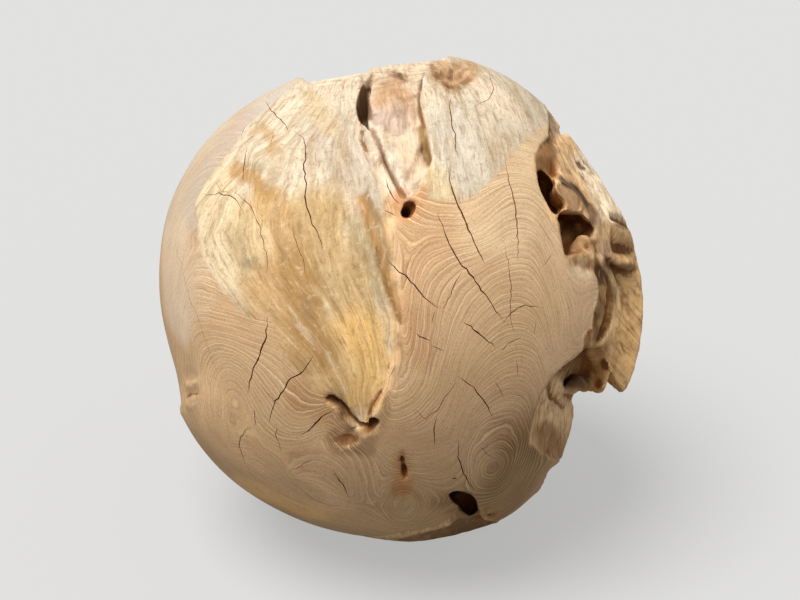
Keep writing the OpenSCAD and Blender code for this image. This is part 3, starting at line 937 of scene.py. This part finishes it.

# %% [markdown]
# Stains and changes of colour follow the wood's growth, so they can't come from noise alone. Other
# strokes are painted light: painted shade in hollows, clefts, crevices and recesses and over rims that
# the lamp lights, and painted highlight on faces that the lamp leaves too dark. They are laid on one by
# one like glazes: each stroke has a colour, a strength, a full and a faded width, and the places on the
# picture that it passes. A slow noise bends all strokes a little.

# %% Strokes: [colour, strength, full width, faded width, places on the picture]
HEART = [
    [(228, 209, 183), 0.85, 30, 66, (172, 215), (164, 260), (165, 305)],
    [(198, 184, 162), 0.85, 46, 100, (184, 175), (208, 132), (240, 102), (285, 78)],
    [(190, 181, 169), 0.9, 32, 56, (204, 196), (222, 160), (250, 124), (280, 96)],
    [(224, 200, 168), 0.6, 12, 30, (194, 262), (196, 296)],
    [(104, 70, 38), 0.7, 8, 26, (530, 436), (538, 452)],
    [(244, 200, 150), 0.75, 20, 70, (215, 420), (255, 460), (310, 505)],
    [(228, 198, 158), 0.9, 24, 60, (500, 215), (522, 180), (538, 150), (546, 118)],
    [(198, 156, 114), 0.8, 12, 40, (424, 205), (430, 228), (418, 252), (412, 300)],
    [(188, 152, 114), 0.5, 30, 70, (450, 320), (500, 335)],
    [(186, 150, 112), 0.7, 20, 50, (520, 420), (470, 400), (430, 420)],
    [(126, 88, 50), 0.85, 30, 80, (540, 450), (505, 505), (450, 520)],
    [(212, 178, 140), 0.9, 14, 40, (566, 246), (586, 290), (578, 325), (562, 350)],
    [(255, 206, 140), 0.85, 16, 40, (250, 490), (304, 514)],
    [(222, 180, 128), 0.6, 14, 36, (344, 526), (430, 522)],
    [(196, 160, 118), 0.7, 12, 36, (395, 470), (402, 500), (410, 520)],
    [(196, 134, 84), 0.8, 4, 14, (400, 196), (398, 208), (408, 219), (420, 206), (428, 194)],
    [(194, 150, 102), 0.8, 5, 16, (404, 296), (406, 342)],
    [(174, 130, 90), 0.7, 8, 22, (422, 326), (424, 350)],
    [(172, 126, 82), 0.8, 8, 20, (296, 396), (328, 402), (345, 440)],
    # Painted shadow right of the notch at the trough's foot.
    [(138, 102, 60), 0.85, 5, 14, (385, 404), (378, 430), (366, 450)],
    [(206, 172, 130), 0.7, 8, 18, (250, 445), (285, 478), (310, 497)],
]
SAP = [
    [(218, 196, 156), 0.8, 24, 50, (208, 190), (216, 225), (232, 262)],
    [(210, 182, 136), 0.9, 16, 40, (250, 224), (260, 256), (264, 282)],
    [(201, 163, 114), 0.95, 18, 44, (272, 288), (284, 318), (298, 350), (314, 382), (334, 396)],
    [(181, 167, 148), 0.8, 14, 40, (325, 110), (350, 160), (360, 200)],
    [(190, 158, 108), 0.9, 16, 52, (320, 215), (345, 262), (352, 330)],
    [(228, 182, 112), 0.85, 14, 36, (354, 335), (366, 370), (376, 396)],
    [(222, 182, 118), 0.5, 8, 26, (326, 340), (338, 380), (352, 392)],
    [(176, 134, 80), 0.9, 6, 14, (236, 172), (256, 177), (268, 196)],
    [(186, 146, 92), 0.75, 9, 24, (268, 200), (284, 225), (294, 260), (300, 296)],
    [(170, 132, 82), 0.9, 8, 26, (294, 262), (302, 320), (312, 362)],
    [(178, 142, 92), 0.7, 2, 9, (246, 134), (258, 124), (272, 132), (276, 150)],
    [(196, 172, 132), 0.7, 4, 16, (300, 84), (312, 98), (330, 118)],
    [(158, 146, 118), 0.4, 3, 14, (238, 236), (244, 262)],
    [(150, 136, 104), 0.6, 2, 9, (252, 166), (262, 166)],
    # Painted shade: an olive streak in the trough's valley along the fold.
    [(156, 142, 110), 0.6, 3, 12, (352, 215), (372, 255), (388, 300)],
    [(192, 178, 158), 0.8, 7, 26, (356, 140), (374, 178), (388, 214)],
    # Painted shade along the fold's wall.
    [(128, 98, 54), 0.85, 2, 8, (366, 190), (380, 225), (390, 262), (397, 300), (400, 335)],
    # Painted shade along the fold down to the notch.
    [(120, 86, 46), 0.85, 1, 5, (402, 330), (401, 352), (392, 372), (386, 400)],
    [(192, 130, 74), 0.9, 3, 10, (400, 196), (402, 208), (410, 218)],
    [(190, 134, 82), 0.8, 2, 8, (428, 193), (424, 200)],
    [(198, 188, 170), 0.8, 14, 40, (452, 120), (464, 160), (478, 182)],
    [(208, 182, 136), 0.7, 6, 24, (440, 178), (456, 216), (470, 236), (500, 200)],
    [(222, 200, 174), 0.8, 12, 30, (490, 90), (520, 110), (545, 125)],
]
SPOTS = [
    [(82, 56, 36), 0.9, 1, 3, (577, 163), (579, 167), (583, 169)],
    # Painted shade under the lumps in the second hollow.
    [(112, 78, 46), 0.8, 1.5, 5, (581, 242), (587, 249), (593, 243)],
    [(112, 80, 48), 0.8, 2, 6, (572, 262), (584, 267), (594, 262)],
    [(236, 212, 176), 0.6, 3, 9, (578, 272), (586, 276)],
    [(188, 152, 114), 0.9, 9, 16, (186, 378), (190, 398)],
    [(178, 134, 90), 0.6, 6, 22, (300, 404), (326, 412), (336, 424)],
    [(180, 112, 50), 0.95, 6, 12, (402, 460), (403, 476), (400, 490)],
    [(106, 72, 38), 0.9, 2, 5, (401, 453), (404, 464)],
    [(212, 182, 144), 0.35, 5, 9, (401, 501), (408, 506)],
    [(146, 108, 68), 0.35, 1, 4, (388, 498), (394, 489), (408, 488), (420, 498)],
    [(150, 108, 64), 0.9, 6, 10, (490, 512), (498, 514)],
    # Painted shade over the pit's rim, which the lamp lights.
    [(124, 88, 54), 0.9, 6, 12, (334, 438), (344, 445), (358, 446)],
    [(170, 122, 66), 0.85, 2, 7, (362, 200), (370, 225), (380, 256), (390, 290), (398, 316)],
    # A thin line of painted shade in the fold.
    [(110, 80, 44), 0.85, 0.8, 3, (376, 250), (384, 276), (394, 304), (400, 322)],
    # Painted shade in the curved groove of the notch.
    [(100, 68, 38), 0.9, 2, 5, (342, 415), (348, 428), (356, 437)],
    # Painted shadow beside the notch.
    [(126, 88, 50), 0.85, 5, 10, (366, 434), (370, 448)],
    [(152, 136, 106), 0.8, 2, 7, (245, 263), (255, 262)],
    [(150, 120, 80), 0.8, 3, 9, (306, 300), (309, 316)],
    [(84, 58, 36), 0.9, 0.8, 2, (353, 268), (354, 269)],
    [(84, 58, 36), 0.9, 0.8, 2, (356, 267), (357, 268)],
    [(190, 152, 112), 0.9, 9, 13, (444, 72), (452, 78), (468, 72)],
    # Painted shade along the pit's rim.
    [(130, 92, 58), 0.85, 2, 5, (432, 68), (438, 80), (449, 90), (460, 88), (470, 79)],
    [(142, 104, 70), 0.7, 1, 4, (441, 74), (449, 82), (460, 78), (463, 70), (452, 66)],
    # Painted shade: the small hole in the pit.
    [(96, 64, 40), 0.8, 1, 4, (452, 72), (451, 79)],
]
ROOT = [
    # Painted shade inside the cleft at the top.
    [(100, 70, 44), 0.95, 6, 9, (366, 80), (361, 92), (362, 108), (368, 126)],
    [(172, 136, 104), 0.7, 7, 20, (390, 92), (404, 112)],
    [(120, 86, 58), 0.8, 2, 7, (394, 76), (404, 80)],
    [(96, 68, 46), 0.8, 1, 3, (399, 76), (401, 80)],
    [(184, 144, 106), 0.7, 3, 10, (378, 104), (384, 92), (396, 88), (406, 98)],
    # Painted shadow along the step between the plate and the heartwood.
    [(112, 78, 50), 0.85, 1.2, 3.5, (425, 76), (418, 98), (419, 114), (424, 128)],
    [(150, 112, 76), 0.7, 1.5, 5, (428, 82), (423, 98)],
    [(150, 112, 80), 0.6, 1.5, 5, (404, 184), (413, 168), (420, 150)],
    [(226, 206, 176), 0.85, 6, 14, (306, 80), (340, 76), (360, 74)],
    [(214, 200, 178), 0.95, 9, 13, (370, 132), (378, 150), (389, 172), (399, 192)],
    # Painted light: the wing face is lifted where the lamp leaves it dark.
    [(255, 206, 142), 0.9, 14, 26, (626, 275), (634, 310), (630, 340), (622, 370), (618, 388)],
    [(255, 216, 164), 0.85, 10, 26, (560, 395), (556, 412)],
    [(152, 114, 72), 0.8, 8, 18, (546, 434), (552, 452)],
    [(196, 134, 84), 0.8, 4, 12, (400, 196), (402, 208), (412, 214), (428, 194)],
    [(172, 150, 138), 0.6, 6, 16, (382, 118), (400, 122)],
    [(138, 106, 62), 0.9, 2, 6, (421, 130), (426, 150), (429, 163)],
    [(126, 90, 60), 0.8, 1.5, 4, (372, 130), (379, 140), (383, 158), (391, 175), (399, 188), (405, 196)],
    # Painted shade on the strip that faces away from the lamp.
    [(102, 70, 38), 0.9, 9, 12, (600, 272), (605, 290), (604, 312), (598, 330), (590, 343)],
    # Painted shade along the strip's inner edge.
    [(74, 48, 28), 0.85, 2, 5, (598, 268), (598, 290), (595, 306), (589, 326)],
    [(178, 136, 80), 0.8, 1.5, 5, (602, 288), (606, 304), (600, 326)],
    # Painted highlight along the strip's lit outer lip.
    [(216, 184, 136), 0.6, 1.2, 3, (600, 261), (611, 278), (616, 297), (612, 322), (605, 342), (590, 351)],
    # Partly the wood's brown, partly painted shade round the notch at the trough's foot.
    [(150, 108, 68), 0.85, 9, 20, (336, 400), (350, 432), (372, 440), (384, 410)],
    [(228, 186, 126), 0.9, 7, 12, (354, 408), (360, 424)],
    # Painted shade along the notch's crevice.
    [(84, 54, 30), 0.9, 2, 6, (335, 400), (337, 409), (343, 423), (351, 434), (360, 439), (368, 433), (376, 423)],
    [(122, 88, 50), 0.9, 13, 18, (466, 505), (466, 524)],
    # Painted shade in the brown scoop above the limb.
    [(150, 106, 64), 0.85, 6, 13, (542, 148), (548, 166)],
    # Painted shadow at the notch's right side.
    [(90, 60, 36), 0.85, 3, 9, (374, 424), (382, 410)],
    [(176, 144, 102), 0.8, 6, 12, (584, 240), (588, 256)],
    # Painted shade cast by the ledge into the second hollow.
    [(120, 82, 46), 0.9, 5, 12, (566, 228), (572, 252)],
    [(214, 176, 122), 0.8, 4, 12, (608, 232), (622, 236)],
    [(96, 66, 38), 0.8, 2, 6, (612, 222), (624, 226)],
    [(100, 68, 38), 0.8, 2, 7, (606, 262), (618, 268), (632, 268)],
    # Painted light on the upper limb, which lies in shade.
    [(255, 232, 196), 0.95, 10, 22, (590, 160), (606, 190), (612, 206)],
    [(150, 128, 104), 0.8, 6, 12, (544, 121), (549, 134)],
    # Painted shade of a soft fold down the scoop's side.
    [(128, 92, 56), 0.8, 2, 8, (548, 134), (552, 160), (556, 174)],
    [(172, 134, 98), 0.9, 6, 12, (566, 188), (576, 202)],
    # Painted shade in the crevice along the limb's cut.
    [(62, 42, 28), 0.95, 1.4, 3.6, (561, 178), (566, 184), (574, 189), (580, 197), (586, 206)],
    # Painted shade on the limb's side wall below it.
    [(96, 66, 42), 0.8, 2, 6, (588, 208), (592, 216), (590, 224)],
    # Painted shade over the limb's lower rim, which the lamp lights.
    [(140, 100, 64), 0.7, 1.5, 5, (558, 190), (564, 202), (574, 212)],
    [(180, 134, 80), 0.9, 6, 14, (596, 352), (596, 372), (592, 386)],
    # Painted shade in the recess under the panel's lower edge.
    [(70, 46, 24), 0.9, 4, 12, (570, 380), (582, 378)],
    [(226, 206, 150), 0.9, 3, 8, (179, 398), (184, 412)],
]


# Where the growth lines fade: [strength, full width, faded width, places on the picture]
QUIET = [
    [1, 40, 76, (172, 215), (164, 260), (166, 300)],
    [1, 28, 44, (200, 200), (222, 160), (250, 124), (280, 96)],
    [1, 46, 100, (184, 175), (208, 132), (240, 102), (285, 78)],
    [1, 10, 26, (566, 262), (584, 300), (580, 335), (562, 362)],
    [1, 8, 16, (252, 448), (275, 470), (296, 488)],
    [0.8, 12, 26, (403, 500), (405, 506)],
    [0.8, 8, 20, (400, 440), (430, 455), (440, 475)],
    [0.6, 24, 44, (300, 470), (345, 485), (404, 503), (440, 500)],
    [0.4, 20, 40, (232, 400), (245, 440)],
    [0.9, 14, 26, (230, 480), (270, 505), (320, 520)],
]


def linear(colour):
    return np.array(paint(*colour)[:3])


bent = flat + 10 * np.stack([smooth_noise(places + shift, 0.02, 3) for shift in (0.0, 91.0)], axis=1)


def laid_on(ground, strokes):
    """The ground colour on every point, with the strokes glazed over it in turn."""
    colours = np.tile(linear(ground), (len(flat), 1))
    for colour, strength, full, none, *line in strokes:
        share = strength * (1 - ramp(distance_to_line(bent, flat_picture(line)), full, none))
        colours += (linear(colour) - colours) * share[:, None]
    return colours


def laid_on_seen(colours, strokes):
    """The same for hollows and ledges, with strokes laid where the picture shows the points."""
    seen_at = np.array([397.3, 296.1]) + places[:, :2] * [PIXELS, -PIXELS] / (SIGHT - places[:, 2:])
    seen_at += 0.2 * (bent - flat)
    for colour, strength, full, none, *line in strokes:
        away = distance_to_line(seen_at, np.array(line, float))
        colours = colours + (linear(colour) - colours) * (strength * in_front * (1 - ramp(away, full, none)))[:, None]
    return colours


in_front = places[:, 2] > -20
root_ground = np.tile(linear((222, 182, 134)), (len(flat), 1))
root_ground += (linear((206, 184, 156)) - root_ground) * on_plate[:, None]
for colour, *corners in ZONES:
    share = ramp(signed(places[:, :2], np.array(corners, float)), -2.5, 2.5) * in_front
    root_ground += (linear(colour) - root_ground) * (0.9 * share)[:, None]
tints = {"heart_tint": laid_on_seen(laid_on((200, 164, 123), HEART), SPOTS),
         "sap_tint": laid_on_seen(laid_on((206, 190, 165), SAP), SPOTS),
         "root_tint": laid_on_seen(root_ground, ROOT + SPOTS)}
for name, colours in tints.items():
    tint = root_ball.data.attributes.new(name, "FLOAT_COLOR", "POINT")
    tint.data.foreach_set("color", np.column_stack([colours, np.ones(len(colours))]).astype(np.float32).ravel())
print(len(HEART) + len(SAP) + len(ROOT), "strokes laid on")

# %% [markdown]
# Fibres run down the root: in the sapwood they follow both its edges and meet at its foot, on the
# right they run upright, and on the wing they fall away to the right. Every point holds how far it
# lies across the fibres and how far along them, so that fine streaks can follow.

# %% Across and along the fibres
LEFT_EDGE = [(-140, -40), (-100, -72), (-60, -112), (-20, -152), (20, -205), (60, -232), (100, -222), (140, -190),
             (180, -160), (230, -140), (300, -140)]
RIGHT_EDGE = [(-140, -30), (-126, -24), (-80, 0), (-40, 6), (60, 2), (110, -8), (150, -28), (230, -34), (300, -36)]
X, Y = (flat + 0.5 * (bent - flat)).T
left, right = lookup(Y, LEFT_EDGE), lookup(Y, RIGHT_EDGE)
share = (X - left) / np.maximum(right - left, 14)
in_sap = ramp(right + 10 - X, 0, 16) * ramp(X - left, -60, -20)
across = (X + 0.08 * Y) * (1 - in_sap) + (share * 150 - 150) * in_sap
length = Y.copy()
fall = ramp(places[:, 0], 192, 208) * ramp(-places[:, 1], -24, -8)
across = across * (1 - fall) + (0.75 * X + 0.62 * Y) * fall
length = length * (1 - fall) + (0.62 * X - 0.75 * Y) * fall
for knot_x, knot_y, reach, push in ((-136, 122, 26, 16), (-28, 226, 16, 8), (57, 215, 26, 14), (14, 84, 14, 8),
                                    (33, 88, 8, 5)):
    spot = unrolled(np.array([show(knot_x, knot_y)]))[0]
    away = np.hypot(X - spot[0], Y - spot[1])
    across += push * np.sign(X - spot[0]) * np.exp(-(away / reach) ** 2) * np.minimum(1, np.abs(X - spot[0]) / 4)
quiet = np.zeros(len(flat))
for strength, full, none, *line in QUIET:
    quiet = np.maximum(quiet, strength * (1 - ramp(distance_to_line(bent, flat_picture(line)), full, none)))
# The sunk mark carries painted shade for hollows and a painted highlight for ridges.
marks = {"growth": rings, "quiet": quiet, "plate": on_plate, "sap": signed(flat, SAPWOOD), "wild": natural, "across": across, "length": length,
         "depth": depth, "sunk": np.clip(0.5 + sunk * 0.2 + sunk_wide * 0.12, 0, 1)}
for name, values in marks.items():
    mark = root_ball.data.attributes.new(name, "FLOAT", "POINT")
    mark.data.foreach_set("value", np.asarray(values, np.float32))
print("marks:", {name: round(float(np.mean(v)), 2) for name, v in marks.items()})

# %% [markdown]
# Teak heartwood shows thin light growth lines; sapwood is cream and shows only long fibres and old
# stains. Natural root wood is browner, with painted shade in its hollows and a painted highlight on
# its ridges. The three are painted one over the other in one finish, with the marks deciding which one shows.

# %% Heartwood
coords = wood.node("ShaderNodeTexCoord", out="Object")
sway = (wood.grain(coords, 15, 2) - 0.5) * 8 + (wood.grain(coords, 70, 2) - 0.5) * 2.6
growth_mark = wood.mark("growth") + sway
turn_of_year = growth_mark / RING
cloud = wood.grain(coords, 8, 4, 0.55)
year = turn_of_year.fract()
strength = wood.node("ShaderNodeTexWhiteNoise", {"noise_dimensions": "1D"}, {"W": turn_of_year.floor()})
line = year.rise(0.62, 0.86) * year.rise(0.9, 1.0, 1.0, 0.0) * (0.3 + 0.7 * strength)
between = (turn_of_year * 3 + 0.3 * cloud).fract()
seen_line = 1 - wood.mark("quiet") * 0.85
line = line * wood.grain(coords, 26, 3).rise(0.32, 0.6, 0.4, 1.0) * seen_line
spot = wood.node("ShaderNodeSeparateXYZ", {}, {0: coords})
spot_z = wood.node("ShaderNodeSeparateXYZ", {}, {0: coords}, out=2)
layered = wood.node("ShaderNodeCombineXYZ", {}, {0: growth_mark * 0.8, 1: spot * 26, 2: spot_z * 26})
fine = wood.grain(layered, 1.0, 3, 0.6)
speckle = wood.grain(coords, 520, 3, 0.65)
heart = wood.node("ShaderNodeAttribute", {"attribute_name": "heart_tint"}, out="Color")
heart = wood.blend(cloud.rise(0.42, 0.64, 0.0, 0.35), heart, paint(176, 140, 102))
heart = wood.blend(fine.rise(0.5, 0.72, 0.0, 0.6) * seen_line, heart, paint(156, 114, 76))
heart = wood.blend(fine.rise(0.46, 0.3, 0.0, 0.35), heart, paint(222, 190, 148))
heart = wood.blend(year.rise(0.0, 0.5, 0.25, 0.0) * seen_line, heart, paint(150, 110, 74))
heart = wood.blend(between.rise(0.3, 0.9) * seen_line * 0.22, heart, paint(226, 198, 158))
heart = wood.blend(line * 0.62, heart, paint(236, 210, 170))
heart = wood.shaded(heart, fine.rise(0.3, 0.7, 1.06, 0.9))
heart = wood.blend(speckle.rise(0.48, 0.72, 0.0, 0.4), heart, paint(136, 98, 64))
print("heartwood lines every", RING, "mm")


# %% Sapwood
def strands(wide, long, detail=3.0, seed=0.0, roughness=0.6):
    """Noise in streaks of about this width and length in mm, along the fibres."""
    wavy = wood.mark("across") + (wood.grain(coords, 26, 3) - 0.5) * 6
    spread = wood.node("ShaderNodeCombineXYZ", {}, {0: wavy / wide, 1: wood.mark("length") / long, 2: seed})
    return wood.grain(spread, 1.0, detail, roughness)


bands = strands(12.0, 90.0, 3.0)
streaks = strands(3.2, 26.0, 5.0, 4.0, 0.65)
hairs = strands(1.4, 12.0, 4.0, 9.0, 0.65)
mottle = wood.grain(coords, 160, 4, 0.7)
sap = wood.node("ShaderNodeAttribute", {"attribute_name": "sap_tint"}, out="Color")
sap = wood.blend(bands.rise(0.47, 0.66, 0.0, 0.45), sap, paint(172, 140, 96))
sap = wood.blend(bands.rise(0.46, 0.3, 0.0, 0.35), sap, paint(222, 208, 182))
sap = wood.blend(streaks.rise(0.52, 0.7, 0.0, 0.55), sap, paint(146, 112, 68))
sap = wood.blend(streaks.rise(0.44, 0.3, 0.0, 0.3), sap, paint(226, 208, 172))
sap = wood.shaded(sap, streaks.rise(0.34, 0.66, 1.07, 0.92))
sap = wood.shaded(sap, bands.rise(0.36, 0.64, 1.06, 0.94))
sap = wood.blend(hairs.rise(0.5, 0.72, 0.0, 0.45), sap, paint(134, 98, 58))
sap = wood.blend(mottle.rise(0.52, 0.72, 0.0, 0.5), sap, paint(138, 108, 70))
sap = wood.blend(mottle.rise(0.46, 0.28, 0.0, 0.3), sap, paint(236, 222, 192))
sap = wood.blend(speckle.rise(0.52, 0.7, 0.0, 0.35), sap, paint(150, 116, 76))
print("sapwood finish ready")

# %% Natural wood and the whole finish
hollow_shade_and_ridge_highlight = wood.mark("sunk")
knots = strands(5.0, 40.0, 5.0, 2.0, 0.65)
threads = strands(1.6, 24.0, 4.0, 12.0, 0.65)
patches = wood.grain(coords, 60, 5, 0.65)
raw = wood.node("ShaderNodeAttribute", {"attribute_name": "root_tint"}, out="Color")
full_grain = 1 - wood.mark("plate") * 0.4
raw = wood.blend(knots.rise(0.5, 0.7, 0.0, 0.55) * full_grain, raw, paint(146, 94, 50))
raw = wood.blend(knots.rise(0.44, 0.3, 0.0, 0.35), raw, paint(238, 204, 158))
raw = wood.blend(patches.rise(0.52, 0.72, 0.0, 0.55) * full_grain, raw, paint(116, 76, 42))
raw = wood.blend(threads.rise(0.5, 0.72, 0.0, 0.5) * full_grain, raw, paint(130, 86, 50))
raw = wood.shaded(raw, knots.rise(0.32, 0.68, 1.14, 0.9))
raw = wood.shaded(raw, patches.rise(0.34, 0.66, 1.1, 0.86))
# Painted shade in the hollows and a painted highlight on the ridges, from the sunk mark.
raw = wood.blend(hollow_shade_and_ridge_highlight.rise(0.53, 0.9, 0.0, 0.8), raw, paint(112, 62, 26))
raw = wood.blend(hollow_shade_and_ridge_highlight.rise(0.42, 0.1, 0.0, 0.12), raw, paint(236, 202, 154))
edge = wood.mark("sap") + (wood.grain(coords, 28, 3) - 0.5) * 16 + (streaks - 0.5) * 14
colour = wood.blend(edge.rise(-2.5, 4.0), heart, sap)
colour = wood.blend(wood.mark("wild"), colour, raw)
wood.set(wood.shader, "Base Color", colour)
wood.set(wood.shader, "Roughness", 0.78)
wood.set(wood.shader, "Specular IOR Level", 0.12)
height = (knots * 2 + patches * 3) * wood.mark("wild") + (streaks * 0.5 + hairs * 0.4) * edge.rise(-2.5, 4.0) + speckle * 0.4
bump = wood.node("ShaderNodeBump", {}, {"Strength": 0.3, "Distance": 0.0006, "Height": height + line * 0.3})
wood.set(wood.shader, "Normal", bump)
# Painted shade: the check walls are darker and redder than the wood around them.
wall.set(wall.shader, "Base Color", paint(150, 84, 58))
wall.set(wall.shader, "Roughness", 0.9)
wall.set(wall.shader, "Specular IOR Level", 0.1)
print("finish ready with", len(wood.nodes), "nodes")

# %% [markdown]
# The dressed ball rides on the one body of the model and stands for the imported solid.

# %% Hand over
root_ball.data.shade_smooth()
whole = bmesh.new()
whole.from_mesh(root_ball.data)
for edge in whole.edges:
    if len(edge.link_faces) == 2 and edge.link_faces[0].material_index != edge.link_faces[1].material_index:
        edge.smooth = False
whole.to_mesh(root_ball.data)
whole.free()
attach(root_ball, "root")
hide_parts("root_ball")
print("dressed:", sum(len(p.vertices) - 2 for p in root_ball.data.polygons), "triangles")
